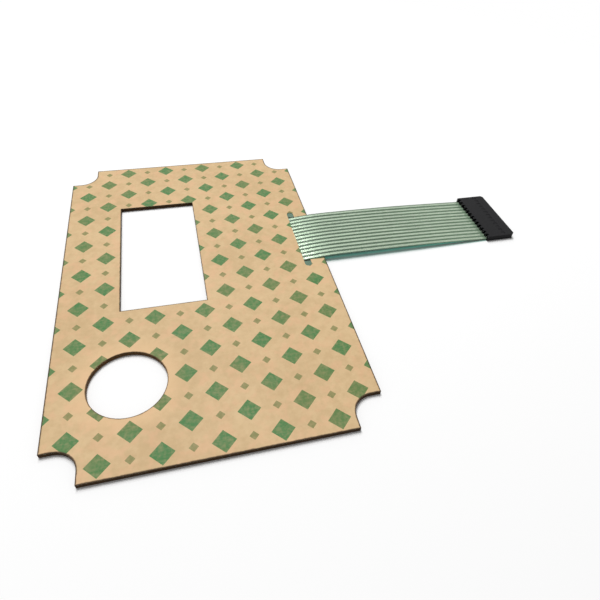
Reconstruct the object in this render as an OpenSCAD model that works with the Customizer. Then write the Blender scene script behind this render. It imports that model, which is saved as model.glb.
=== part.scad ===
// Membrane keypad, lying on its front with the release liner up.
// A laminate with a display window, a control hole and notched corners. Snap domes under the keys sit
// on the printed circuit film, the rearmost film, which runs out through a slot in the adhesive and the
// liner as a flat tail with a single-row receptacle.
// Origin: centre of the panel outline on the front face. +X towards the tail, +Z out of the back.

/* [Panel] */
// Width of the panel, left edge to right edge
panel_w = 116.5; // [112:0.5:160]
// Height of the panel, bottom edge to top edge
panel_h = 180; // [166:0.5:240]
// Width of the notch cut from each corner
notch_w = 12; // [9:0.2:18]
// Height of the notch cut from each corner
notch_h = 12.6; // [9:0.2:18]
// Radius in the inner corner of each notch
notch_r = 8; // [1:0.5:8.5]

/* [Display window] */
// Width of the display window
window_w = 35.3; // [20:0.1:40]
// Height of the display window
window_h = 71.4; // [40:0.1:85]
// Panel's left edge to the window's left edge
window_left = 24.5; // [8:0.5:28]
// Panel's top edge to the window's top edge
window_top = 37.8; // [16:0.2:52]

/* [Control hole] */
// Diameter of the round control hole
hole_d = 28.3; // [10:0.1:36]
// Panel's left edge to the hole's centre
hole_left = 27.4; // [22:0.2:42]
// Panel's bottom edge to the hole's centre
hole_bottom = 34.6; // [28:0.2:46]

/* [Keys] */
// Columns of keys
key_cols = 2; // [1:1:2]
// Rows of keys
key_rows = 6; // [2:1:6]
// Centre to centre of neighbouring columns
key_pitch_x = 22; // [14:0.5:30]
// Centre to centre of neighbouring rows
key_pitch_y = 24; // [14:0.5:28]
// Panel's right edge to the centre of the key field
keys_right = 33.3; // [28:0.1:38]
// Diameter of one snap dome
dome_d = 12; // [8:0.1:13]
// Height of one snap dome
dome_h = 0.75; // [0.4:0.05:0.9]
// Sheet thickness of one snap dome
dome_t = 0.1; // [0.05:0.01:0.15]
// Clearance round a dome in its pocket
dome_gap = 0.2; // [0.1:0.05:0.5]
// Width of the printed ring under a dome's rim
ring_w = 1; // [0.6:0.1:2]
// Diameter of the printed pad under a dome's middle
pad_d = 3; // [1.5:0.1:5]
// Width of the air channels between the pockets
vent_w = 1.5; // [0.8:0.1:3]

/* [Layers] */
// Thickness of the graphic overlay
overlay_t = 0.38; // [0.175:0.005:0.5]
// Thickness of the adhesive behind the overlay
overlay_adhesive_t = 0.13; // [0.05:0.01:0.2]
// Thickness of the spacer sheet that holds the domes
spacer_t = 0.955; // [0.8:0.005:1.2]
// Thickness of the adhesive between the spacer sheet and the circuit film
spacer_adhesive_t = 0.1; // [0.05:0.01:0.2]
// Thickness of the circuit film and its tail
circuit_t = 0.125; // [0.075:0.005:0.175]
// Thickness of the mounting adhesive
rear_adhesive_t = 0.05; // [0.03:0.01:0.13]
// Thickness of the release liner
liner_t = 0.09; // [0.05:0.01:0.15]
// Height of the printed silver
print_t = 0.03; // [0.02:0.005:0.04]
// Thickness of the green coat over the tail's conductors
coat_t = 0.05; // [0.045:0.005:0.08]

/* [Tail] */
// Centre to centre of neighbouring conductors
trace_pitch = 2.54; // [2.4:0.01:3]
// Width of one conductor
trace_w = 1.3; // [1:0.05:1.6]
// Panel's top edge to the tail's centre line
tail_top = 75.5; // [50:0.5:110]
// Panel's right edge to the inner edge of the tail slot
slot_inset = 10.2; // [8:0.1:13]
// Width of the tail slot
slot_w = 3.2; // [2:0.1:4]
// Length of the tail slot past the tail at each end
slot_end = 4.2; // [2.5:0.1:6]
// Kerf beside the tail where it leaves the circuit film
tail_kerf = 0.6; // [0.3:0.05:1]
// Clearance of the tail over the slot's outer edge
slot_gap = 0.02; // [0.01:0.01:0.2]
// Bend radius where the tail turns up out of the film
root_bend_r = 4; // [1:0.1:6]
// Bend radius where the tail turns level at the connector
land_bend_r = 60; // [20:1:200]
// Height of the tail's highest point above the liner
tail_lift = 0.95; // [0.4:0.05:2]
// Bare margin between the coat and the tail's edge
coat_margin = 0.4; // [0.2:0.05:0.5]
// Panel's right edge to the connector
tail_reach = 86; // [60:0.5:200]

/* [Connector] */
// Depth of the housing, cable side to mating side
housing_d = 15; // [13:0.1:20]
// Thickness of the housing
housing_t = 2.7; // [2.5:0.05:3.5]
// Housing past the outer conductor positions at each end
housing_end = 0.6; // [0.4:0.05:2]
// Corner chamfer on the mating side
housing_chamfer = 1; // [0.2:0.1:1.4]
// Height of the tail's middle plane inside the housing
entry_z = 0.9; // [0.6:0.05:1]
// Length of tail held inside the housing
entry_depth = 4.5; // [3:0.1:5.5]
// Depth of the entry notch over each conductor
tooth_depth = 1.1; // [0.5:0.1:1.8]
// Width of the entry notch over each conductor
tooth_gap = 1.4; // [1:0.05:1.7]
// Width of one terminal
terminal_w = 1.5; // [1.2:0.05:1.6]
// Height of one terminal
terminal_h = 1.2; // [1:0.05:1.3]
// Sheet thickness of one terminal
terminal_t = 0.2; // [0.15:0.01:0.25]
// Length of the terminal's tongue on its conductor
tongue_l = 3; // [1.5:0.1:3.2]
// Clearance round a terminal in its cavity
terminal_gap = 0.1; // [0.05:0.01:0.15]
// Thickness of the wall at the mating side
front_wall = 1; // [0.6:0.1:1.6]
// Side of one square pin opening
pin_hole = 0.9; // [0.8:0.05:1.1]
// Length of one recess in the housing's top
dimple_l = 2; // [1:0.1:3]
// Depth of one recess in the housing's top
dimple_t = 0.15; // [0.05:0.05:0.2]

/* [Hidden] */
$fn = 48;
// Overlap that carries a cut past a face
cut = 1;
// Clearance of the tail in the housing's entry
entry_gap = 0.1;
// Root of the tail that lies inside the film's outline
root_lap = 1;
// Places along a spring leaf where it starts to close and where it meets the pin, as shares of its length
leaf_start = 0.2;
leaf_pinch = 0.7;
// Gap between the two leaves of a terminal where they meet the pin
pinch_gap = 0.5;

left_x = -panel_w / 2;
right_x = panel_w / 2;
top_y = panel_h / 2;
bottom_y = -panel_h / 2;

// One conductor for each key and one that all keys share
key_count = key_cols * key_rows;
trace_count = key_count + 1;

// Rear face of each layer is the front of the next
overlay_adhesive_z = overlay_t;
spacer_z = overlay_adhesive_z + overlay_adhesive_t;
spacer_adhesive_z = spacer_z + spacer_t;
circuit_z = spacer_adhesive_z + spacer_adhesive_t;
rear_adhesive_z = circuit_z + circuit_t;
liner_z = rear_adhesive_z + rear_adhesive_t;
back_z = liner_z + liner_t;
pocket_d = dome_d + 2 * dome_gap;

// Tail and slot
tail_w = trace_count * trace_pitch;
tail_y = top_y - tail_top;
slot_x = right_x - slot_inset;
slot_l = tail_w + 2 * slot_end;
film_mid = circuit_t / 2;
film_z = circuit_z + film_mid;
film_low = -film_mid - coat_t;
apex_z = back_z + tail_lift + film_mid;
housing_x = right_x + tail_reach;
housing_l = tail_w + 2 * housing_end;

// The tail bends up at its root to the angle at which its coat clears the slot's outer edge
edge_rise = back_z + slot_gap - film_z;
edge_arm = norm([slot_w, root_bend_r - edge_rise]);
ramp_angle = atan2(slot_w, root_bend_r - edge_rise) - acos((root_bend_r - film_low) / edge_arm);
// It climbs straight to that edge, then bends level at its highest point
ramp_x = slot_x + slot_w;
root_end = [slot_x, film_z] + root_bend_r * [sin(ramp_angle), 1 - cos(ramp_angle)];
ramp_z = root_end[1] + (ramp_x - root_end[0]) * tan(ramp_angle);
crown_r = (apex_z - ramp_z) / (1 - cos(ramp_angle));
apex_x = ramp_x + crown_r * sin(ramp_angle);
// It descends through a wide bend and lands in the connector through a shorter one
fall_run = housing_x - apex_x;
fall_angle = 2 * atan((apex_z - entry_z) / fall_run);
fall_r = fall_run / sin(fall_angle) - land_bend_r;

// Terminals lie under the conductors
tongue_z = entry_z - film_mid - print_t - terminal_t;
cavity_x = housing_x + entry_depth + entry_gap;
cavity_end = housing_x + housing_d - front_wall;
cavity_w = terminal_w + 2 * terminal_gap;
cavity_h = terminal_h + terminal_gap;
pin_z = tongue_z + terminal_t + (terminal_h - terminal_t) / 2;

dome_names = [for (i = [1:key_count]) str("snap_dome_", i)];
terminal_names = [for (i = [1:trace_count]) str("terminal_", i)];

// Centre of the key in a column and a row, counted from the lower left
function key_at(col, row) =
    [right_x - keys_right + (col - (key_cols - 1) / 2) * key_pitch_x,
     (row - (key_rows - 1) / 2) * key_pitch_y];

// Y of one conductor's centre line, counted from the top
function trace_y(i) = tail_y + ((trace_count - 1) / 2 - i) * trace_pitch;

// Points [x, z, slope] of a bend from one slope to another; a negative radius bends downwards
function bend(from, slope, r, steps) =
    [for (i = [1:steps])
        let (a = from[2] + (slope - from[2]) * i / steps)
        [from[0] + r * (sin(a) - sin(from[2])), from[1] - r * (cos(a) - cos(from[2])), a]];

function last(list) = list[len(list) - 1];

// Middle line of the tail, from the slot's inner edge to the connector and to its end inside it
path_start = [slot_x, film_z, 0];
path_root = bend(path_start, ramp_angle, root_bend_r, 4);
path_ramp = [ramp_x, ramp_z, ramp_angle];
path_crown = bend(path_ramp, 0, -crown_r, 6);
path_fall = bend(last(path_crown), -fall_angle, -fall_r, 8);
path_land = bend(last(path_fall), 0, land_bend_r, 4);
free_path = concat([path_start], path_root, [path_ramp], path_crown, path_fall, path_land);
tail_path = concat(free_path, [[housing_x + entry_depth, entry_z, 0]]);

// The same line shifted by d along its normal
function shifted(path, d) = [for (p = path) [p[0] - d * sin(p[2]), p[1] + d * cos(p[2])]];
function reversed(list) = [for (i = [len(list) - 1:-1:0]) list[i]];

// Strip of width w about y that follows a path between two shifts of it
module strip(path, y, w, low, high) {
    translate([0, y + w / 2, 0])
        rotate([90, 0, 0])
            linear_extrude(w)
                polygon(concat(shifted(path, low), reversed(shifted(path, high))));
}

module layer(z, t) {
    translate([0, 0, z])
        linear_extrude(t)
            children();
}

module rounded_rectangle(w, h, r) {
    square([w, h - 2 * r], center = true);
    square([w - 2 * r, h], center = true);
    for (sx = [-1, 1], sy = [-1, 1])
        translate([sx * (w / 2 - r), sy * (h / 2 - r)])
            circle(r);
}

// Outline that every layer shares
module panel_outline() {
    difference() {
        square([panel_w, panel_h], center = true);
        for (sx = [-1, 1], sy = [-1, 1])
            translate([sx * panel_w / 2, sy * panel_h / 2])
                rounded_rectangle(2 * notch_w, 2 * notch_h, notch_r);
        translate([left_x + window_left, top_y - window_top - window_h])
            square([window_w, window_h]);
        translate([left_x + hole_left, bottom_y + hole_bottom])
            circle(d = hole_d);
    }
}

// Slot with round ends, cut through the layers behind the circuit film
module tail_slot() {
    translate([slot_x, tail_y - slot_l / 2 + slot_w / 2])
        square([slot_w, slot_l - slot_w]);
    for (s = [-1, 1])
        translate([slot_x + slot_w / 2, tail_y + s * (slot_l - slot_w) / 2])
            circle(d = slot_w);
}

module slotted_outline() {
    difference() {
        panel_outline();
        tail_slot();
    }
}

// Part of the film's sheet that the tail was cut from, with a round end to the kerf on each side
module tail_notch() {
    translate([slot_x, tail_y - tail_w / 2 - tail_kerf])
        square([slot_inset + cut, tail_w + 2 * tail_kerf]);
    for (s = [-1, 1])
        translate([slot_x, tail_y + s * (tail_w + tail_kerf) / 2])
            circle(d = tail_kerf);
}

// Places its children at every key
module at_keys() {
    for (col = [0:key_cols - 1], row = [0:key_rows - 1])
        translate(key_at(col, row))
            children();
}

// Pockets round the domes, with channels that let the air pass between them
module dome_pockets() {
    first = key_at(0, 0);
    at_keys()
        circle(d = pocket_d);
    for (col = [0:key_cols - 1])
        translate([key_at(col, 0)[0] - vent_w / 2, first[1]])
            square([vent_w, (key_rows - 1) * key_pitch_y]);
    translate(first - [vent_w, vent_w] / 2)
        square([(key_cols - 1) * key_pitch_x + vent_w, vent_w]);
}

module graphic_overlay() {
    color("#34373b")
        layer(0, overlay_t)
            panel_outline();
}

module overlay_adhesive() {
    color("#d9d6c8")
        layer(overlay_adhesive_z, overlay_adhesive_t)
            difference() {
                panel_outline();
                at_keys()
                    circle(d = pocket_d);
            }
}

module spacer_sheet() {
    color("#2b241f")
        layer(spacer_z, spacer_t)
            difference() {
                panel_outline();
                at_keys()
                    circle(d = pocket_d);
            }
}

// Adhesive that leaves the domes, the air channels and the tail free
module spacer_adhesive() {
    color("#d9d6c8")
        layer(spacer_adhesive_z, spacer_adhesive_t)
            difference() {
                panel_outline();
                dome_pockets();
                tail_notch();
            }
}

// Dome of thin sheet with its rim on the printed ring and its crown towards the front
module snap_dome(col, row) {
    steps = 8;
    rim = dome_d / 2;
    outer_r = (rim * rim + dome_h * dome_h) / (2 * dome_h);
    inner_r = outer_r - dome_t;
    centre = outer_r - dome_h;
    outer_end = acos(centre / outer_r);
    inner_end = acos(centre / inner_r);
    color("#c4c6c8")
        translate(concat(key_at(col, row), circuit_z - print_t))
            rotate([180, 0, 0])
                rotate_extrude()
                    polygon(concat(
                        [for (i = [0:steps]) let (a = outer_end * i / steps)
                            [outer_r * sin(a), outer_r * cos(a) - centre]],
                        [for (i = [steps:-1:0]) let (a = inner_end * i / steps)
                            [inner_r * sin(a), inner_r * cos(a) - centre]]));
}

module circuit_film() {
    color("#a9c4b6") {
        layer(circuit_z, circuit_t)
            difference() {
                panel_outline();
                tail_notch();
            }
        strip(concat([[slot_x - root_lap, film_z, 0]], tail_path), tail_y, tail_w, -film_mid, film_mid);
    }
}

// Ring and pad under each dome, printed on the film's front
module key_contacts() {
    color("#bfc4c4")
        layer(circuit_z - print_t, print_t)
            at_keys() {
                difference() {
                    circle(d = dome_d);
                    circle(d = dome_d - 2 * ring_w);
                }
                circle(d = pad_d);
            }
}

module tail_traces() {
    color("#c3d2be")
        for (i = [0:trace_count - 1])
            strip(tail_path, trace_y(i), trace_w, -film_mid - print_t, -film_mid);
}

// Green coat on the tail's front, with the conductors bedded in it
module tail_coat() {
    color("#5f8a70")
        difference() {
            strip(free_path, tail_y, tail_w - 2 * coat_margin, film_low, -film_mid);
            for (i = [0:trace_count - 1])
                strip(tail_path, trace_y(i), trace_w, -film_mid - print_t, cut);
        }
}

module rear_adhesive() {
    color("#cfc6ab")
        layer(rear_adhesive_z, rear_adhesive_t)
            slotted_outline();
}

module release_liner() {
    color("#dcb98f")
        layer(liner_z, liner_t)
            slotted_outline();
}

// Plan of the housing with chamfered corners on the mating side
module housing_plan() {
    half = housing_l / 2;
    shoulder = half - housing_chamfer;
    polygon([[0, -half], [housing_d - housing_chamfer, -half], [housing_d, -shoulder],
             [housing_d, shoulder], [housing_d - housing_chamfer, half], [0, half]]);
}

module connector_housing() {
    entry_high = entry_z + film_mid + entry_gap;
    color("#262528")
        difference() {
            translate([housing_x, tail_y, 0])
                linear_extrude(housing_t)
                    housing_plan();
            translate([housing_x - cut, tail_y - tail_w / 2 - entry_gap, tongue_z])
                cube([cut + entry_depth + entry_gap, tail_w + 2 * entry_gap, entry_high - tongue_z]);
            for (i = [0:trace_count - 1])
                translate([0, trace_y(i), 0])
                    housing_position();
        }
}

// What one conductor takes out of the housing: entry notch, cavity, pin opening and top recess
module housing_position() {
    translate([housing_x - cut, -tooth_gap / 2, entry_z])
        cube([cut + tooth_depth, tooth_gap, housing_t]);
    translate([cavity_x - entry_gap, -cavity_w / 2, tongue_z])
        cube([cavity_end - cavity_x + entry_gap, cavity_w, cavity_h]);
    translate([cavity_end - cut, -pin_hole / 2, pin_z - pin_hole / 2])
        cube([front_wall + 2 * cut, pin_hole, pin_hole]);
    translate([(cavity_x + cavity_end - dimple_l) / 2, -terminal_w / 2, housing_t - dimple_t])
        cube([dimple_l, terminal_w, dimple_t + cut]);
}

// Plan of one spring leaf: it leaves the side, closes on the pin and flares at the mouth
module spring_leaf(length) {
    outer = terminal_w / 2;
    pinch = pinch_gap / 2;
    start_x = length * leaf_start;
    pinch_x = length * leaf_pinch;
    polygon([[0, outer], [start_x, outer], [pinch_x, pinch + terminal_t], [length, outer],
             [length, outer - terminal_t], [pinch_x, pinch], [start_x, outer - terminal_t],
             [0, outer - terminal_t]]);
}

module terminal(i) {
    leaf_l = cavity_end - cavity_x;
    tongue_w = min(trace_w, terminal_w);
    color("#b8b09a")
        translate([cavity_x, trace_y(i), tongue_z]) {
            translate([-tongue_l, -tongue_w / 2, 0])
                cube([tongue_l + terminal_t, tongue_w, terminal_t]);
            translate([0, -terminal_w / 2, 0])
                cube([leaf_l, terminal_w, terminal_t]);
            for (s = [0, 1])
                mirror([0, s, 0])
                    linear_extrude(terminal_h)
                        spring_leaf(leaf_l);
        }
}

graphic_overlay();
overlay_adhesive();
spacer_sheet();
spacer_adhesive();
circuit_film();
key_contacts();
tail_traces();
tail_coat();
rear_adhesive();
release_liner();
connector_housing();
for (i = [0:key_count - 1])
    snap_dome(i % key_cols, floor(i / key_cols));
for (i = [0:trace_count - 1])
    terminal(i);
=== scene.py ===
"""Looks of a membrane keypad that lies on its front, with its kraft release liner up.

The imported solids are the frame. The flat layers and the domes keep their solids and get their finishes here.
The circuit sheet with its tail, the printed conductors, the coat over them and the connector shell are drawn
anew in the places of their solids, with smooth bends, a slight wave in the film and eased edges.
"""
import math

import bmesh
import bpy
import numpy as np
from bpy.props import FloatProperty, FloatVectorProperty, PointerProperty
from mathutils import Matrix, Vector


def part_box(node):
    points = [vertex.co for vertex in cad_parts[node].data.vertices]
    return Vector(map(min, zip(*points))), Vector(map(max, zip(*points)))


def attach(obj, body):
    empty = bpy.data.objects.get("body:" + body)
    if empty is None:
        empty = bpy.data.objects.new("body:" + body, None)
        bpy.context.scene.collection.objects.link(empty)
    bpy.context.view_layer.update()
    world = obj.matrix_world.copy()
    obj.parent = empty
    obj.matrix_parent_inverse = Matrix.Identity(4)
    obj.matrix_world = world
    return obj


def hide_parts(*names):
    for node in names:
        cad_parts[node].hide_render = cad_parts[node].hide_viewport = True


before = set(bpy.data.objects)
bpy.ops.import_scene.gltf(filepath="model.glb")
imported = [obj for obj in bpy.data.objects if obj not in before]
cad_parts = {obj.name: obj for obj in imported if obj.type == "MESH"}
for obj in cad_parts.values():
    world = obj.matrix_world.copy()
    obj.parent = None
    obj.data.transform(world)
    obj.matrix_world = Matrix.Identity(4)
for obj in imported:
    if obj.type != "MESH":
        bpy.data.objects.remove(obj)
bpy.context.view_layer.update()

bl_info = {
    "name": "Membrane Keypad",
    "version": (1, 0, 0),
    "blender": (4, 5, 0),
    "location": "View3D > Sidebar > Keypad",
    "description": "Dresses a membrane keypad with its liner, film tail and connector",
    "category": "Object",
}

MM = 0.001

# Places taken from the frame
LINER_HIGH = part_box("release_liner")[1]
FILM_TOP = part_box("rear_adhesive")[0].z
FILM_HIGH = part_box("circuit_film")[1]
TRACES_LOW, TRACES_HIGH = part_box("tail_traces")
TAIL_Y = (TRACES_LOW.y + TRACES_HIGH.y) / 2
HOUSING_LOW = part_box("connector_housing")[0]

CONDUCTORS = 13
KEY_ROWS = 6
MERGE_L = 1e-7                  # points closer than this become one
HAIR = 0.01 * MM                # slack of a test for points that lie on an edge
SHARP = math.radians(40)        # bends over this stay sharp, or are eased on the connector
FLAT = math.radians(0.5)        # faces that meet at less than this are one
FLOOR_HALF = 4.0                # half the side of the floor
FLOOR_DROP = 0.02 * MM          # the floor lies this far below the keypad
LAMP_AIM = (0.03, 0, 0)         # point that the lamps face
SENSOR = 36                     # width of the camera's frame in millimetres

NUMBER, COLOUR = "NodeSocketFloat", "NodeSocketColor"
WHITE = (1, 1, 1, 1)
SEEN = ("Is Camera Ray", "Is Glossy Ray", "Is Transmission Ray")


def length(name, description, millimetres):
    """Property for a length, in metres."""
    return FloatProperty(name=name, description=description, default=millimetres * MM, unit="LENGTH",
                         precision=5)


def amount(name, description, default, unit, least=0.0):
    """Property for one of the stage's own numbers."""
    return FloatProperty(name=name, description=description, default=default, min=least, unit=unit)


def share(name, description, default):
    """Property for a plain number from 0 to 1."""
    return FloatProperty(name=name, description=description, default=default, min=0, max=1, subtype="FACTOR")


def angles(name, description, *degrees, subtype="NONE"):
    """Property for several angles, given in degrees."""
    return FloatVectorProperty(name=name, description=description, size=len(degrees), subtype=subtype,
                               default=[math.radians(angle) for angle in degrees], unit="ROTATION")


def colour(name, description, red, green, blue):
    """Property for a colour, given as 8-bit display values."""
    return FloatVectorProperty(name=name, description=description, size=3, min=0, max=1,
                               default=(red / 255, green / 255, blue / 255), subtype="COLOR_GAMMA")


class KeypadSizes(bpy.types.PropertyGroup):
    """Sizes of the cut outline, the prints, the tail and the connector."""
    notch_w: length("Notch Width", "Width of the notch in each corner", 12)
    notch_h: length("Notch Height", "Height of the notch in each corner", 12.6)
    notch_r: length("Notch Radius", "Radius in the inner corner of a notch", 8)
    window_x: length("Window Centre X", "Centre of the display window", -16.1)
    window_y: length("Window Centre Y", "Centre of the display window", 16.5)
    window_w: length("Window Width", "Width of the display window", 35.3)
    window_h: length("Window Height", "Height of the display window", 71.4)
    hole_x: length("Hole Centre X", "Centre of the control hole", -30.85)
    hole_y: length("Hole Centre Y", "Centre of the control hole", -55.4)
    hole_r: length("Hole Radius", "Radius of the control hole", 14.15)
    halo_w: length("Hole Halo", "How far from the hole the paper is warmed", 10)
    slot_w: length("Slot Width", "Width of the tail slot", 3.2)
    film_t: length("Film Thickness", "Thickness of the circuit film", 0.125)
    print_t: length("Print Height", "Height of the printed silver", 0.03)
    tail_w: length("Tail Width", "Width of the film tail", 33.02)
    trace_w: length("Conductor Width", "Width of one printed conductor", 1.3)
    trace_pitch: length("Conductor Pitch", "Centre to centre of neighbouring conductors", 2.54)
    coat_t: length("Coat Thickness", "Thickness of the green coat over the conductors", 0.05)
    coat_margin: length("Coat Margin", "Bare film between the coat and the tail's edge", 0.06)
    slot_gap: length("Slot Clearance", "Clearance of the tail over the slot's outer edge", 0.02)
    root_r: length("Root Bend", "Bend radius where the tail turns up", 4)
    land_r: length("Landing Bend", "Bend radius where the tail turns level at the connector", 60)
    skin: length("Skin", "Bare distance that parts faces which touch", 0.004)
    entry_z: length("Entry Height", "Height of the tail's middle plane in the connector", 0.9)
    wave_h: length("Film Wave", "Height of the slight wave in the tail", 0.1)
    edge_r: length("Housing Edge", "Radius along the edges of the connector", 0.14)
    char_w: length("Char Width", "Width of the browned rim along a cut edge", 0.62)
    clean_w: length("Clean Cut", "How much of the browned rim the window and the hole lack", 0.14)
    lattice: length("Lattice Step", "From one large lozenge of the liner's print to the next in its row", 20)
    large: length("Large Lozenge", "Half size of a large lozenge of the liner's print", 4.2)
    small: length("Small Lozenge", "Half size of a small lozenge of the liner's print", 1.7)
    key_x: length("Key Field X", "Middle of the two key columns", 24.95)
    key_pitch_x: length("Key Column Pitch", "Centre to centre of the key columns", 22)
    key_pitch_y: length("Key Row Pitch", "Centre to centre of the key rows", 24)
    key_w: length("Key Field Width", "Side of one printed key field", 17)
    key_r: length("Key Field Radius", "Radius in the corners of a key field", 3)
    key_gap: length("Key Line Gap", "From a key field to the line round it", 0.5)
    frame_gap: length("Frame Line Gap", "From the window or the hole to the line round it", 2)
    line_w: length("Line Width", "Width of the thin lines on the front", 0.44)


class KeypadColours(bpy.types.PropertyGroup):
    """Colours of the finishes."""
    kraft: colour("Kraft", "Release liner", 216, 186, 141)
    kraft_dark: colour("Kraft Shade", "Darker patches of the liner", 194, 163, 118)
    kraft_warm: colour("Kraft Blush", "Warmer patches of the liner", 226, 178, 138)
    kraft_halo: colour("Kraft Halo", "Liner that the cutting heat has warmed about the hole", 228, 190, 144)
    print_bold: colour("Bold Print", "Large lozenges on the liner", 64, 117, 60)
    print_fine: colour("Fine Print", "Small lozenges on the liner", 110, 118, 62)
    char: colour("Cut Edge", "Browned edge of the cut laminate", 58, 39, 18)
    spacer: colour("Spacer Sheet", "Dark sheet in the laminate", 42, 33, 21)
    adhesive: colour("Adhesive", "Clear adhesive layers", 214, 207, 186)
    bond: colour("Spacer Adhesive", "Clear adhesive over the dark sheet", 104, 126, 114)
    film: colour("Circuit Film", "Clear film of the circuit and its tail", 174, 196, 174)
    film_glow: colour("Film Shadow", "Light that one side of the film lets through", 228, 241, 234)
    # The coat's own green, with painted shade: darker at the slot, lighter at the connector.
    coat: colour("Coat", "Green coat between the conductors, at the slot", 50, 69, 48)
    coat_painted_lit: colour("Coat End", "Green coat at the connector, where it is paler", 82, 102, 78)
    coat_glow: colour("Coat Shadow", "Light that one side of the coat lets through", 104, 196, 188)
    silver: colour("Silver Print", "Printed conductors and contacts", 190, 199, 180)
    steel: colour("Domes", "Spring steel of the snap domes", 196, 198, 200)
    housing: colour("Connector", "Moulded connector housing", 18, 18, 20)
    tin: colour("Terminals", "Tinned terminals", 190, 184, 168)
    overlay: colour("Overlay", "Ground of the front face", 50, 54, 60)
    key_face: colour("Key Field", "Printed key fields on the front", 128, 138, 148)
    key_line: colour("Key Line", "Thin line round a key field, the window and the hole", 206, 211, 214)


class KeypadStage(bpy.types.PropertyGroup):
    """Camera, lamps and floor."""
    camera_place: FloatVectorProperty(name="Camera Place", description="Where the camera stands", size=3,
                                      default=(-0.001926, -0.162951, 0.149517), subtype="TRANSLATION",
                                      unit="LENGTH")
    camera_turn: angles("Camera Turn", "How the camera is turned", 43.8803, -3.1647, -13.8752,
                        subtype="EULER")
    lens: amount("Lens", "Focal length on a 36 mm frame", 28.74, "NONE", least=1)
    key_power: amount("Soft Box", "Power of the large lamp behind the keypad", 27.3, "POWER")
    key_size: amount("Soft Box Size", "Side of the large lamp", 0.8, "LENGTH", least=0.01)
    key_turn: angles("Soft Box Angles", "Large lamp: height above the floor, and turn to the right of "
                     "straight behind", 68, -14)
    glint_power: amount("Window", "Power of the small low lamp that glints on the tail", 4.8, "POWER")
    glint_size: amount("Window Size", "Side of the small lamp", 0.3, "LENGTH", least=0.01)
    glint_turn: angles("Window Angles", "Small lamp: height above the floor, and turn to the right of "
                       "straight behind", 50, 2)
    distance: amount("Lamp Distance", "From the keypad to the lamps", 1.9, "LENGTH", least=0.1)
    fill: share("Room Light", "Strength of the even light from all round", 0.26)


class Signal:
    """Value at a socket, which takes part in sums as a plain number does."""

    def __init__(self, wiring, socket):
        self.wiring = wiring
        self.socket = socket

    def __add__(self, other):
        return self.wiring.math("ADD", self, other)

    def __sub__(self, other):
        return self.wiring.math("SUBTRACT", self, other)

    def __rsub__(self, other):
        return self.wiring.math("SUBTRACT", other, self)

    def __mul__(self, other):
        return self.wiring.math("MULTIPLY", self, other)

    def __truediv__(self, other):
        return self.wiring.math("DIVIDE", self, other)

    def __abs__(self):
        return self.wiring.math("ABSOLUTE", self)

    def __lt__(self, other):
        return self.wiring.math("LESS_THAN", self, other)

    def least(self, other):
        return self.wiring.math("MINIMUM", self, other)

    def most(self, other):
        return self.wiring.math("MAXIMUM", self, other)

    def floor(self):
        return self.wiring.math("FLOOR", self)

    def wrapped(self, step):
        """Remainder within one step, from 0 to the step."""
        return self.wiring.math("FLOORED_MODULO", self, step)

    def eased(self, low, high, start=0.0, end=1.0):
        """Smooth step from start at low to end at high."""
        node = self.wiring.add("ShaderNodeMapRange", {0: self, 1: low, 2: high, 3: start, 4: end},
                               interpolation_type="SMOOTHSTEP")
        return Signal(self.wiring, node.outputs[0])


class Wiring:
    """One node tree, with short ways to add nodes and to wire them."""

    def __init__(self, tree):
        self.tree = tree

    def feed(self, socket, value):
        """Sets a socket to a plain value, or links a signal, a socket or a node's first output to it."""
        if isinstance(value, bpy.types.Node):
            value = value.outputs[0]
        elif isinstance(value, Signal):
            value = value.socket
        if isinstance(value, bpy.types.NodeSocket):
            self.tree.links.new(value, socket)
        else:
            socket.default_value = value

    def add(self, kind, inputs=None, **settings):
        """Adds a node, sets its own properties, then feeds its inputs by name or number."""
        node = self.tree.nodes.new(kind)
        for key, value in settings.items():
            setattr(node, key, value)
        for key, value in (inputs or {}).items():
            self.feed(node.inputs[key], value)
        return node

    def signals(self, sockets):
        """Sockets as signals by name."""
        return {socket.name: Signal(self, socket) for socket in sockets}

    def math(self, operation, *values):
        node = self.add("ShaderNodeMath", dict(enumerate(values)), operation=operation)
        return Signal(self, node.outputs[0])

    def span(self, across, along):
        """Length of a flat vector."""
        return self.math("SQRT", across * across + along * along)

    def parts(self, vector):
        """The three numbers of a vector."""
        return [Signal(self, part) for part in self.add("ShaderNodeSeparateXYZ", {0: vector}).outputs]

    def place(self):
        """Object coordinates as three numbers."""
        return self.parts(self.add("ShaderNodeTexCoord").outputs["Object"])

    def noise(self, scale, detail=2.0, roughness=0.5, stretch=(1, 1, 1), turn=0.0):
        """Noise on object coordinates, stretched and turned about Z; about 0.5 on average."""
        vector = self.add("ShaderNodeTexCoord").outputs["Object"]
        mapped = self.add("ShaderNodeMapping", {"Vector": vector, "Rotation": (0, 0, turn), "Scale": stretch})
        node = self.add("ShaderNodeTexNoise", {"Vector": mapped, "Scale": scale, "Detail": detail,
                                               "Roughness": roughness})
        return Signal(self, node.outputs[0])

    def mix(self, factor, first, second, blend="MIX"):
        """Two colours mixed by a factor."""
        node = self.add("ShaderNodeMix", {0: factor, 6: first, 7: second}, data_type="RGBA", blend_type=blend)
        return node.outputs[2]

    def group(self, tree, inputs=None):
        """Places a node group and gives its outputs by name."""
        return self.signals(self.add("ShaderNodeGroup", inputs, node_tree=tree).outputs)

    def bump(self, height, distance, strength):
        """Normal of a surface that is raised by a height times a distance."""
        return self.add("ShaderNodeBump", {"Height": height, "Distance": distance, "Strength": strength})

    def ray(self, *kinds):
        """1 on a ray of one of these kinds, 0 on any other."""
        path = self.signals(self.add("ShaderNodeLightPath").outputs)
        found = path[kinds[0]]
        for kind in kinds[1:]:
            found = found.most(path[kind])
        return found

    def principled(self, inputs):
        return self.add("ShaderNodeBsdfPrincipled", inputs)

    def surface(self, shader):
        """Ends a material with its surface shader."""
        self.add("ShaderNodeOutputMaterial", {"Surface": shader})


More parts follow.
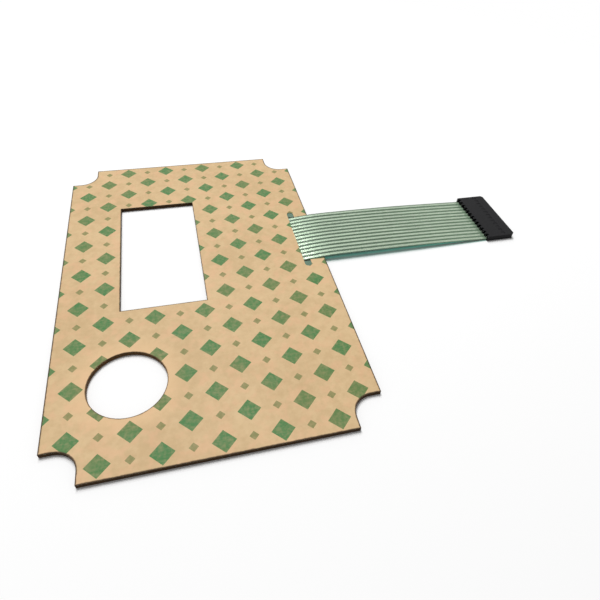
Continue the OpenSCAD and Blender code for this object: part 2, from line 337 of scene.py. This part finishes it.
def new_material(name):
    """Empty node material and its wiring."""
    material = bpy.data.materials.new(name)
    material.use_nodes = True
    material.node_tree.nodes.clear()
    return material, Wiring(material.node_tree)


def new_group(name, inputs, outputs):
    """Empty shader node group, its wiring, its inputs as signals by name and its output sockets."""
    tree = bpy.data.node_groups.new(name, "ShaderNodeTree")
    for socket, kind in inputs.items():
        tree.interface.new_socket(socket, in_out="INPUT", socket_type=kind)
    for socket, kind in outputs.items():
        tree.interface.new_socket(socket, in_out="OUTPUT", socket_type=kind)
    wiring = Wiring(tree)
    given = wiring.signals(wiring.add("NodeGroupInput").outputs)
    return tree, wiring, given, wiring.add("NodeGroupOutput").inputs


def window_distance(wiring, sizes, x, y):
    """Distance to the display window from outside it: to a rectangle, 0 within."""
    return wiring.span((abs(x - sizes.window_x) - sizes.window_w / 2).most(0.0),
                       (abs(y - sizes.window_y) - sizes.window_h / 2).most(0.0))


def hole_distance(wiring, sizes, x, y):
    """Distance to the rim of the control hole: to a circle, below 0 within."""
    return wiring.span(x - sizes.hole_x, y - sizes.hole_y) - sizes.hole_r


def edge_distance_group(sizes):
    """Group that gives the distance to the nearest cut edge of the panel, and the distance to the hole.

    Each edge has its own distance: straight sides, a rounded rectangle about each corner for the notches, a
    rectangle for the window and a circle for the hole. The least of them counts, and the tail slot doesn't.
    The window and the hole are cut cleaner, so they count as a little farther away.
    """
    tree, wiring, _, result = new_group("Edge distance", {}, {"Distance": NUMBER, "Hole": NUMBER})
    x, y, _ = wiring.place()
    side_x = LINER_HIGH.x - abs(x)
    side_y = LINER_HIGH.y - abs(y)
    past_x = side_x - (sizes.notch_w - sizes.notch_r)
    past_y = side_y - (sizes.notch_h - sizes.notch_r)
    within = past_x.most(past_y).least(0.0)
    notch = wiring.span(past_x.most(0.0), past_y.most(0.0)) + within - sizes.notch_r
    hole = hole_distance(wiring, sizes, x, y)
    inner = window_distance(wiring, sizes, x, y).least(hole) + sizes.clean_w
    wiring.feed(result["Distance"], side_x.least(side_y).least(notch).least(inner))
    wiring.feed(result["Hole"], hole)
    return tree


def tone_group():
    """Group that varies a colour in soft patches, down to its shade."""
    tree, wiring, given, result = new_group("Soft tone", {"Color": COLOUR, "Shade": COLOUR, "Scale": NUMBER},
                                            {"Color": COLOUR})
    broad = wiring.noise(given["Scale"], detail=3.0)
    fine = wiring.noise(given["Scale"] * 9.0)
    value = (broad * 0.65 + fine * 0.35).eased(0.3, 0.7)
    wiring.feed(result["Color"], wiring.mix(value, given["Shade"], given["Color"]))
    return tree


def cut_edge_group(distance):
    """Group that browns a layer where it was cut: all of its walls, and a narrow uneven rim on its faces.

    The wall of the round hole is a lighter brown.
    """
    tree, wiring, given, result = new_group("Cut edge", {"Color": COLOUR, "Char": COLOUR, "Width": NUMBER},
                                            {"Color": COLOUR, "Mask": NUMBER})
    wall = 1.0 - abs(wiring.parts(wiring.add("ShaderNodeNewGeometry").outputs["True Normal"])[2])
    uneven = wiring.noise(900.0) * 0.9 + 0.55
    edges = wiring.group(distance)
    rim = (edges["Distance"] / (given["Width"] * uneven)).eased(0.3, 1.0, 1.0, 0.0) * 0.95
    mask = wall.most(rim).least(1.0)
    streak = wiring.noise(700.0, detail=3.0, stretch=(1, 1, 0.2)).eased(0.25, 0.8, 0.72, 1.35)
    streak = streak * edges["Hole"].eased(0.0, 1 * MM, 2.3, 1.0)
    grey = wiring.add("ShaderNodeCombineColor", dict.fromkeys(range(3), streak))
    burnt = wiring.mix(1.0, given["Char"], grey, "MULTIPLY")
    wiring.feed(result["Color"], wiring.mix(mask, given["Color"], burnt))
    wiring.feed(result["Mask"], mask)
    return tree


class Finishes:
    """Makes the finishes of the keypad from its sizes and colours, with node groups that they share."""

    def __init__(self, sizes, colours):
        self.sizes = sizes
        self.colours = colours
        self.tone = tone_group()
        self.cut_edge = cut_edge_group(edge_distance_group(sizes))

    def paint(self, name):
        """Named display colour as a linear colour with alpha, by the sRGB curve."""
        shown = np.array(getattr(self.colours, name)[:])
        values = np.where(shown <= 0.04045, shown / 12.92, ((shown + 0.055) / 1.055) ** 2.4)
        return (*values.tolist(), 1.0)

    def toned(self, wiring, name, shade, scale):
        """Named colour with soft darker patches; shade is the share of light that is left in them."""
        full = self.paint(name)
        dim = (*(part * shade for part in full[:3]), 1.0)
        return wiring.group(self.tone, {"Color": full, "Shade": dim, "Scale": scale})["Color"]

    def cut(self, wiring, face, width=1.0):
        """Colour of a layer with its cut edges, and the mask of these; width is a share of the char's."""
        edge = wiring.group(self.cut_edge, {"Color": face, "Char": self.paint("char"),
                                            "Width": self.sizes.char_w * width})
        return edge["Color"], edge["Mask"]

    def layer(self, name, colour_name, roughness):
        """Flat layer of the laminate, seen at its cut edges."""
        material, wiring = new_material(name)
        shown, mask = self.cut(wiring, self.toned(wiring, colour_name, 0.9, 60.0))
        wiring.surface(wiring.principled({
            "Base Color": shown, "Roughness": mask.eased(0.0, 1.0, roughness, 0.7),
            "Specular IOR Level": 0.1, "Normal": wiring.bump(wiring.noise(2500.0), 0.03 * MM, 0.5)}))
        return material

    def print_masks(self, wiring, x, y):
        """Masks of the liner's print: an even lattice where large and small lozenges take turns.

        Every other row is shifted by half a step. A lozenge is where the distances from its centre along the
        two axes add up to less than its half size.
        """
        step, half = self.sizes.lattice, self.sizes.lattice / 2
        shifted = x + (y / half).floor().wrapped(2.0) * half
        off = abs(y.wrapped(half) - half / 2)
        large = abs(shifted.wrapped(step) - half) + off < self.sizes.large
        small = abs((shifted + half).wrapped(step) - half) + off < self.sizes.small
        return large, small

    def liner(self):
        """Kraft release liner: cloudy paper with fine fibres, a sparse green print and browned cut edges.

        About the hole the paper is warmer, and so is the ink.
        """
        material, wiring = new_material("kraft_liner")
        x, y, _ = wiring.place()
        cloud = wiring.noise(26.0, detail=3.0) * 0.45 + wiring.noise(330.0, detail=4.0, roughness=0.65) * 0.55
        blush = wiring.noise(240.0).eased(0.45, 0.7)
        fibre = wiring.noise(1400.0, detail=3.0, roughness=0.6, stretch=(0.16, 1, 1), turn=0.3)
        cross = wiring.noise(1100.0, detail=3.0, roughness=0.6, stretch=(1, 0.2, 1), turn=0.2)
        grain = fibre * 0.55 + cross * 0.45
        halo = hole_distance(wiring, self.sizes, x, y).eased(0.0, self.sizes.halo_w, 0.6, 0.0)
        paper = wiring.mix(cloud.eased(0.32, 0.68) * 0.75 + grain * 0.4, self.paint("kraft_dark"),
                           self.paint("kraft"))
        paper = wiring.mix(blush * 0.4, paper, self.paint("kraft_warm"))
        paper = wiring.mix(halo, paper, self.paint("kraft_halo"))
        large, small = self.print_masks(wiring, x, y)
        cover = wiring.noise(620.0, detail=4.0, roughness=0.6) * 0.6 + grain * 0.4
        cover = cover.eased(0.32, 0.6, 0.76, 1.0)
        tint = wiring.noise(34.0, detail=1.0).eased(0.42, 0.66) * 0.5
        green = wiring.mix(tint.most(halo), self.paint("print_bold"), self.paint("print_fine"))
        printed = wiring.mix(large * cover, paper, green)
        printed = wiring.mix(small * cover * 0.85, printed, self.paint("print_fine"))
        shown, mask = self.cut(wiring, printed)
        wiring.surface(wiring.principled({
            "Base Color": shown, "Roughness": (grain * 0.25 + 0.42).most(mask * 0.75),
            "Specular IOR Level": 0.25, "Normal": wiring.bump(grain + large * 0.15, 0.03 * MM, 0.7)}))
        return material

    def spacer(self):
        """Dark spacer sheet with a faint grain along its cut wall."""
        material, wiring = new_material("spacer_sheet")
        shown, _ = self.cut(wiring, self.toned(wiring, "spacer", 0.7, 90.0))
        grain = wiring.noise(1800.0, detail=3.0, stretch=(1, 1, 0.3))
        wiring.surface(wiring.principled({
            "Base Color": shown, "Roughness": grain.eased(0.3, 0.7, 0.5, 0.72),
            "Specular IOR Level": 0.1, "Normal": wiring.bump(grain, 0.05 * MM, 0.6)}))
        return material

    def overlay(self):
        """Front face: fine matt film, rounded key fields in two columns, and thin lines.

        A line runs round each key field, the window and the hole.
        """
        sizes = self.sizes
        material, wiring = new_material("overlay_film")
        x, y, _ = wiring.place()
        half = sizes.key_w / 2 - sizes.key_r
        key_x = (abs(abs(x - sizes.key_x) - sizes.key_pitch_x / 2) - half).most(0.0)
        key_y = (abs(y.wrapped(sizes.key_pitch_y) - sizes.key_pitch_y / 2) - half).most(0.0)
        rows = abs(y) < KEY_ROWS / 2 * sizes.key_pitch_y
        out = wiring.span(key_x, key_y)
        face = (out < sizes.key_r) * rows
        line = (abs(out - (sizes.key_r + sizes.key_gap)) < sizes.line_w / 2) * rows
        for edge in (window_distance(wiring, sizes, x, y), hole_distance(wiring, sizes, x, y)):
            line = line.most(abs(edge - sizes.frame_gap) < sizes.line_w / 2)
        inked = wiring.mix(face, self.toned(wiring, "overlay", 0.86, 40.0), self.paint("key_face"))
        inked = wiring.mix(line, inked, self.paint("key_line"))
        shown, _ = self.cut(wiring, inked, width=0.4)
        tooth = wiring.noise(5200.0)
        wiring.surface(wiring.principled({
            "Base Color": shown, "Roughness": tooth.eased(0.3, 0.7, 0.42, 0.58) - face * 0.08,
            "Normal": wiring.bump(tooth + face * 0.6, 0.02 * MM, 0.6)}))
        return material

    def lit_through(self, wiring, shader, glow):
        """Ends a material that lamps shine through: its shadow takes the glow colour."""
        clear = wiring.add("ShaderNodeBsdfTransparent", {"Color": self.paint(glow)})
        shadow = wiring.ray("Is Shadow Ray")
        wiring.surface(wiring.add("ShaderNodeMixShader", {0: shadow, 1: shader, 2: clear}))

    def film(self):
        """Clear film with a green cast and a slightly uneven gloss."""
        material, wiring = new_material("circuit_film")
        haze = wiring.noise(520.0, detail=3.0)
        shader = wiring.principled({
            "Base Color": self.toned(wiring, "film", 0.88, 45.0), "Alpha": 0.1,
            "Roughness": haze.eased(0.3, 0.7, 0.16, 0.28),
            "Normal": wiring.bump(wiring.noise(75.0), 0.4 * MM, 0.35)})
        self.lit_through(wiring, shader, "film_glow")
        return material

    def coat(self):
        """Printed green coat, a little cloudy, with painted shade that is darkest at the slot and lightens
        towards the connector.
        """
        material, wiring = new_material("green_coat")
        # Painted shade along the tail: the coat is darkest at the slot and lighter towards the connector.
        end = wiring.place()[0].eased(TRACES_LOW.x, HOUSING_LOW.x)
        grain = wiring.noise(2600.0)
        shader = wiring.principled({
            "Base Color": wiring.mix(end, self.toned(wiring, "coat", 0.84, 120.0), self.paint("coat_painted_lit")),
            "Roughness": grain.eased(0.3, 0.7, 0.26, 0.4),
            "Specular IOR Level": 0.2, "Normal": wiring.bump(grain, 0.01 * MM, 0.4)})
        self.lit_through(wiring, shader, "coat_glow")
        return material

    def silver(self):
        """Printed silver: fine flakes and soft streaks along the conductors."""
        material, wiring = new_material("silver_print")
        flake = wiring.noise(4200.0)
        streak = wiring.noise(520.0, detail=3.0, stretch=(0.06, 1, 1))
        wiring.surface(wiring.principled({
            "Base Color": self.toned(wiring, "silver", 0.86, 70.0), "Metallic": 0.6,
            "Roughness": (flake * 0.3 + streak * 0.2).eased(0.1, 0.4, 0.22, 0.4),
            "Normal": wiring.bump(flake * 0.12 + streak, 0.02 * MM, 0.5)}))
        return material

    def housing(self):
        """Moulded black plastic with a fine spark-worn grain and a low sheen."""
        material, wiring = new_material("connector_plastic")
        grain = wiring.noise(3800.0, detail=3.0)
        wiring.surface(wiring.principled({
            "Base Color": self.toned(wiring, "housing", 0.72, 150.0),
            "Roughness": grain.eased(0.3, 0.7, 0.46, 0.64),
            "Specular IOR Level": 0.12, "Normal": wiring.bump(grain, 0.04 * MM, 0.5)}))
        return material

    def metal(self, name, colour_name):
        """Bare metal sheet with fine rolling lines."""
        material, wiring = new_material(name)
        lines = wiring.noise(3000.0, stretch=(0.05, 1, 1))
        wiring.surface(wiring.principled({
            "Base Color": self.toned(wiring, colour_name, 0.8, 400.0), "Metallic": 1.0,
            "Roughness": lines.eased(0.3, 0.7, 0.24, 0.42), "Normal": wiring.bump(lines, 0.01 * MM, 0.5)}))
        return material


def bent(line, slope, radius, steps):
    """Line of rows x, z, slope with a bend to a new slope at its end; a negative radius bends downwards.

    Along the bend, x goes with the sine of the slope and z with its cosine, both times the radius.
    """
    x, z, first = line[-1]
    slopes = np.linspace(first, slope, steps + 1)[1:]
    bend = np.stack([x + radius * (np.sin(slopes) - np.sin(first)),
                     z - radius * (np.cos(slopes) - np.cos(first)), slopes], axis=1)
    return np.concatenate([line, bend])


def run_on(line, end, steps):
    """Line of rows x, z, slope with a straight run at its end, along its slope to another x."""
    x, z, slope = line[-1]
    places = np.linspace(x, end, steps + 1)[1:]
    run = np.stack([places, z + (places - x) * np.tan(slope), np.full(steps, slope)], axis=1)
    return np.concatenate([line, run])


def tail_line(sizes):
    """Middle line of the tail as rows x, z, slope.

    A short bend turns it up to the angle at which its coat clears the slot's outer edge. It climbs straight
    to that edge, a wide bend levels it at its highest point, a wider one lowers it, and a shorter one lands
    it in the connector, where its straight end lies.
    """
    start = TRACES_LOW.x
    low = FILM_TOP - sizes.film_t / 2
    apex = FILM_HIGH.z - sizes.film_t / 2
    arm = sizes.root_r - (LINER_HIGH.z + sizes.slot_gap - low)
    under = sizes.root_r + sizes.film_t / 2 + sizes.coat_t
    ramp = math.atan2(sizes.slot_w, arm) - math.acos(under / math.hypot(sizes.slot_w, arm))
    line = bent(np.array([[start, low, 0.0]]), ramp, sizes.root_r, steps=10)
    line = run_on(line, start + sizes.slot_w, steps=8)
    crown_r = (apex - line[-1, 1]) / (1 - math.cos(ramp))
    line = bent(line, 0.0, -crown_r, steps=24)
    fall_l = HOUSING_LOW.x - line[-1, 0]
    fall = 2 * math.atan((apex - sizes.entry_z) / fall_l)
    fall_r = fall_l / math.sin(fall) - sizes.land_r
    line = bent(line, -fall, -fall_r, steps=48)
    line = bent(line, 0.0, sizes.land_r, steps=12)
    return run_on(line, TRACES_HIGH.x, steps=4)


def film_wave(x, y, height):
    """Slight wave of the free tail: two crossing sines and a slanting one, faded out at the tail's ends."""
    start, end = LINER_HIGH.x - 4 * MM, HOUSING_LOW.x - 2 * MM
    fade = np.sin(math.pi * np.clip((x - start) / (end - start), 0, 1)) ** 2
    crossing = np.sin(x * 95 + 0.4) * np.cos((y - TAIL_Y) * 120)
    slanting = 0.5 * np.sin(x * 61 + y * 80)
    return height * fade * (crossing + slanting)


def carried(line, y, lift, wave):
    """Closed ring of points (y, lift) carried along a line; lift is taken along the line's normal.

    Returns points and faces: one ring for each row of the line, quads between rings and a face at each end.
    """
    rows, ring = len(line), len(y)
    x, z, slope = (line[:, k, None] for k in range(3))
    spread = np.broadcast_to(y, (rows, ring))
    raised = lift + film_wave(np.broadcast_to(x, (rows, ring)), spread, wave)
    points = np.stack([x - raised * np.sin(slope), spread, z + raised * np.cos(slope)], axis=2)
    first = np.arange(rows - 1)[:, None] * ring + np.arange(ring)[None, :]
    step = np.arange(rows - 1)[:, None] * ring + (np.arange(ring)[None, :] + 1) % ring
    quads = np.stack([first, first + ring, step + ring, step], axis=2).reshape(-1, 4)
    caps = [np.arange(ring).tolist(), (np.arange(ring)[::-1] + (rows - 1) * ring).tolist()]
    return points.reshape(-1, 3), quads.tolist() + caps


def film_ring(sizes, count=41):
    """Section of the tail: its upper side from right to left, then its lower side back."""
    across = np.linspace(-0.5, 0.5, count) * sizes.tail_w + TAIL_Y
    half = np.full(count, sizes.film_t / 2)
    return np.concatenate([across, across[::-1]]), np.concatenate([half, -half])


def conductor_ring(sizes, centre, count=13):
    """Section of one printed conductor: a flat side against the film over a crowned side with thin rims.

    The crown falls from the middle to a quarter of its height, with the root of 1 less the cubed distance.
    """
    out = np.linspace(-1, 1, count)
    crown = sizes.print_t * (0.25 + 0.75 * np.sqrt(1 - np.abs(out) ** 3))
    across = centre + out * sizes.trace_w / 2
    face = -sizes.film_t / 2
    return (np.concatenate([across, across[[-1, 0]]]),
            np.concatenate([face - np.maximum(crown, 2 * sizes.skin), np.full(2, face - sizes.skin)]))


def coat_ring(sizes, centres):
    """Section of the coat: a flat lower side, and an upper side with one groove for each conductor."""
    half = sizes.tail_w / 2 - sizes.coat_margin
    face = -sizes.film_t / 2
    top = face - sizes.skin
    groove = face - sizes.print_t - sizes.skin
    edge = sizes.trace_w / 2
    inner = (centres[:, None] + np.array([-edge, -edge, edge, edge])).ravel()
    upper = np.concatenate([[TAIL_Y - half], inner, [TAIL_Y + half]])
    lift = np.concatenate([[top], np.tile([top, groove, groove, top], len(centres)), [top]])
    bottom = np.full(len(upper), face - sizes.coat_t)
    return np.concatenate([upper, upper[::-1]]), np.concatenate([lift, bottom])


def plate_of_film(sizes):
    """Points and faces of the circuit film inside the laminate: its solid's faces without those of the tail.

    A bare skin is left above and below it, so that it doesn't share its faces with the adhesive.
    """
    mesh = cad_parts["circuit_film"].data
    points = np.empty(len(mesh.vertices) * 3)
    mesh.vertices.foreach_get("co", points)
    points = points.reshape(-1, 3)
    corners = np.empty(len(mesh.loops), dtype=np.int64)
    mesh.loops.foreach_get("vertex_index", corners)
    triangles = corners.reshape(-1, 3)
    beyond = points[:, 0] > TRACES_LOW.x + HAIR
    beyond &= np.abs(points[:, 1] - TAIL_Y) < sizes.tail_w / 2 + HAIR
    kept = triangles[~beyond[triangles].any(axis=1)]
    points[:, 2] = np.clip(points[:, 2], FILM_TOP - sizes.film_t + sizes.skin, FILM_TOP - sizes.skin)
    return points, kept.tolist()


def placed(name, data):
    """New object in the scene."""
    item = bpy.data.objects.new(name, data)
    bpy.context.scene.collection.objects.link(item)
    return item


def new_piece(name, points, faces, sharp=SHARP):
    """Closed mesh object from points and faces, with doubles merged, holes closed and sharp edges kept."""
    mesh = bpy.data.meshes.new(name)
    mesh.from_pydata(np.asarray(points).tolist(), [], faces)
    shape = bmesh.new()
    shape.from_mesh(mesh)
    loose = [vertex for vertex in shape.verts if not vertex.link_faces]
    bmesh.ops.delete(shape, geom=loose, context="VERTS")
    bmesh.ops.remove_doubles(shape, verts=shape.verts, dist=MERGE_L)
    bmesh.ops.holes_fill(shape, edges=[edge for edge in shape.edges if edge.is_boundary], sides=0)
    bmesh.ops.recalc_face_normals(shape, faces=shape.faces)
    shape.to_mesh(mesh)
    shape.free()
    mesh.polygons.foreach_set("use_smooth", np.ones(len(mesh.polygons), dtype=bool))
    mesh.set_sharp_from_angle(angle=sharp)
    return placed(name, mesh)


def joined(*shapes):
    """Several shapes of points and faces as one."""
    points, faces = [], []
    count = 0
    for some_points, some_faces in shapes:
        points.append(some_points)
        faces += [[corner + count for corner in face] for face in some_faces]
        count += len(some_points)
    return np.concatenate(points), faces


def dress(node, material):
    """Gives a solid of the frame its finish."""
    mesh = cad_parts[node].data
    mesh.materials.clear()
    mesh.materials.append(material)


def dress_all(prefix, material):
    """Gives all solids whose names begin alike their finish."""
    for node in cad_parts:
        if node.startswith(prefix):
            dress(node, material)


def put(piece, material, slot, *nodes):
    """Gives a new piece its finish and puts it in the place of its solids."""
    piece.data.materials.append(material)
    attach(piece, "root")
    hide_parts(*nodes)


made = {}


def finishes(context):
    """The finishes, made from the scene's sizes and colours on first use."""
    if "keypad" not in made:
        made["keypad"] = Finishes(context.scene.keypad_sizes, context.scene.keypad_colours)
    return made["keypad"]


class KEYPAD_OT_laminate(bpy.types.Operator):
    """Finish the flat layers of the panel under the liner, and the domes between them"""
    bl_idname = "keypad.laminate"
    bl_label = "Laminate"

    def execute(self, context):
        look = finishes(context)
        dress("graphic_overlay", look.overlay())
        adhesive = look.layer("adhesive", "adhesive", 0.3)
        dress("overlay_adhesive", adhesive)
        dress("rear_adhesive", adhesive)
        dress("spacer_adhesive", look.layer("spacer_adhesive", "bond", 0.3))
        dress("spacer_sheet", look.spacer())
        dress_all("snap_dome_", look.metal("dome_steel", "steel"))
        return {"FINISHED"}


class KEYPAD_OT_liner(bpy.types.Operator):
    """Finish the kraft release liner and its print"""
    bl_idname = "keypad.liner"
    bl_label = "Release Liner"

    def execute(self, context):
        dress("release_liner", finishes(context).liner())
        return {"FINISHED"}


class KEYPAD_OT_tail(bpy.types.Operator):
    """Draw the circuit film with its tail, and the conductors and the coat on the tail's front"""
    bl_idname = "keypad.tail"
    bl_label = "Circuit Film and Tail"

    def execute(self, context):
        sizes = context.scene.keypad_sizes
        look = finishes(context)
        line = tail_line(sizes)
        strip = carried(line, *film_ring(sizes), sizes.wave_h)
        film = new_piece("circuit_sheet", *joined(plate_of_film(sizes), strip))
        put(film, look.film(), "circuit_film", "circuit_film")
        centres = TAIL_Y + (np.arange(CONDUCTORS) - CONDUCTORS // 2) * sizes.trace_pitch
        silver = look.silver()
        strips = [carried(line, *conductor_ring(sizes, centre), sizes.wave_h) for centre in centres]
        conductors = new_piece("conductors", *joined(*strips), sharp=math.radians(60))
        put(conductors, silver, "silver_print", "tail_traces")
        free = line[line[:, 0] < HOUSING_LOW.x + HAIR]
        coat = new_piece("coat", *carried(free, *coat_ring(sizes, centres), sizes.wave_h))
        put(coat, look.coat(), "green_coat", "tail_coat")
        dress("key_contacts", silver)
        return {"FINISHED"}


class KEYPAD_OT_connector(bpy.types.Operator):
    """Draw the connector shell with eased edges, and finish its terminals"""
    bl_idname = "keypad.connector"
    bl_label = "Connector"

    def execute(self, context):
        look = finishes(context)
        shape = bmesh.new()
        shape.from_mesh(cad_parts["connector_housing"].data)
        bmesh.ops.remove_doubles(shape, verts=shape.verts, dist=MERGE_L)
        bmesh.ops.dissolve_limit(shape, angle_limit=FLAT, verts=shape.verts, edges=shape.edges)
        mesh = bpy.data.meshes.new("connector_shell")
        shape.to_mesh(mesh)
        shape.free()
        shell = placed("connector_shell", mesh)
        ease = shell.modifiers.new("eased_edges", "BEVEL")
        ease.width = context.scene.keypad_sizes.edge_r
        ease.segments = 2
        ease.limit_method = "ANGLE"
        ease.angle_limit = SHARP
        ease.use_clamp_overlap = True
        put(shell, look.housing(), "connector_plastic", "connector_housing")
        dress_all("terminal_", look.metal("terminal_metal", "tin"))
        return {"FINISHED"}


class KEYPAD_OT_stage(bpy.types.Operator):
    """Set the floor, the lamps and the camera"""
    bl_idname = "keypad.stage"
    bl_label = "Stage"

    def floor(self):
        """Pale floor: white to the eye and in reflections, a little darker to light that bounces.

        Far from the keypad, past the reach of the lamps, the eye sees it as plain white.
        """
        material, wiring = new_material("floor")
        near, far = 0.22, 0.5
        x, y, _ = wiring.place()
        beyond = wiring.span(x, y).eased(near, far) * wiring.ray("Is Camera Ray")
        white = wiring.mix(wiring.ray(*SEEN), (0.8, 0.8, 0.8, 1), WHITE)
        lit = wiring.add("ShaderNodeBsdfDiffuse", {"Color": white})
        plain = wiring.add("ShaderNodeEmission", {"Color": WHITE, "Strength": 1.0})
        wiring.surface(wiring.add("ShaderNodeMixShader", {0: beyond, 1: lit, 2: plain}))
        mesh = bpy.data.meshes.new("floor")
        corners = np.array([[-1, -1, 0], [1, -1, 0], [1, 1, 0], [-1, 1, 0]]) * FLOOR_HALF - [0, 0, FLOOR_DROP]
        mesh.from_pydata(corners.tolist(), [], [[0, 1, 2, 3]])
        mesh.materials.append(material)
        placed("floor", mesh)

    def room(self, context, strength):
        """Even room light; the eye and reflections see it as white."""
        world = bpy.data.worlds.new("room")
        world.use_nodes = True
        world.node_tree.nodes.clear()
        wiring = Wiring(world.node_tree)
        light = wiring.ray(*SEEN).eased(0.0, 1.0, strength, 1.0)
        wiring.add("ShaderNodeOutputWorld", {
            "Surface": wiring.add("ShaderNodeBackground", {"Color": WHITE, "Strength": light})})
        context.scene.world = world

    def lamp(self, name, power, size, turns, distance):
        """Square lamp that faces the keypad from behind."""
        light = bpy.data.lights.new(name, "AREA")
        light.energy = power
        light.size = size
        height, turn = turns
        toward = np.array([math.cos(height) * math.sin(turn), math.cos(height) * math.cos(turn),
                           math.sin(height)])
        lamp = placed(name, light)
        lamp.location = toward * distance + LAMP_AIM
        lamp.rotation_euler = Vector(-toward).to_track_quat("-Z", "Y").to_euler()

    def camera(self, context, stage):
        """Camera at the photograph's viewing angle."""
        view = bpy.data.cameras.new("camera")
        view.lens = stage.lens
        view.sensor_width = SENSOR
        view.sensor_fit = "HORIZONTAL"
        view.clip_start = 0.01
        camera = placed("camera", view)
        camera.location = stage.camera_place
        camera.rotation_euler = stage.camera_turn
        context.scene.camera = camera

    def execute(self, context):
        stage = context.scene.keypad_stage
        context.scene.view_settings.view_transform = "Standard"
        self.floor()
        self.room(context, stage.fill)
        self.lamp("soft_box", stage.key_power, stage.key_size, stage.key_turn, stage.distance)
        self.lamp("window", stage.glint_power, stage.glint_size, stage.glint_turn, stage.distance)
        self.camera(context, stage)
        return {"FINISHED"}


OPERATORS = (KEYPAD_OT_laminate, KEYPAD_OT_liner, KEYPAD_OT_tail, KEYPAD_OT_connector, KEYPAD_OT_stage)


class KEYPAD_PT_sidebar(bpy.types.Panel):
    """Buttons for each group of pieces"""
    bl_idname = "KEYPAD_PT_sidebar"
    bl_label = "Membrane Keypad"
    bl_space_type = "VIEW_3D"
    bl_region_type = "UI"
    bl_category = "Keypad"

    def draw(self, context):
        for operator in OPERATORS:
            self.layout.operator(operator.bl_idname)


CLASSES = (KeypadSizes, KeypadColours, KeypadStage, *OPERATORS, KEYPAD_PT_sidebar)


def register():
    for item in CLASSES:
        bpy.utils.register_class(item)
    bpy.types.Scene.keypad_sizes = PointerProperty(type=KeypadSizes)
    bpy.types.Scene.keypad_colours = PointerProperty(type=KeypadColours)
    bpy.types.Scene.keypad_stage = PointerProperty(type=KeypadStage)


def unregister():
    del bpy.types.Scene.keypad_stage
    del bpy.types.Scene.keypad_colours
    del bpy.types.Scene.keypad_sizes
    for item in reversed(CLASSES):
        bpy.utils.unregister_class(item)


def main():
    """Builds the keypad and its stage."""
    register()
    bpy.ops.keypad.laminate()
    bpy.ops.keypad.liner()
    bpy.ops.keypad.tail()
    bpy.ops.keypad.connector()
    bpy.ops.keypad.stage()


if __name__ == "__main__":
    main()
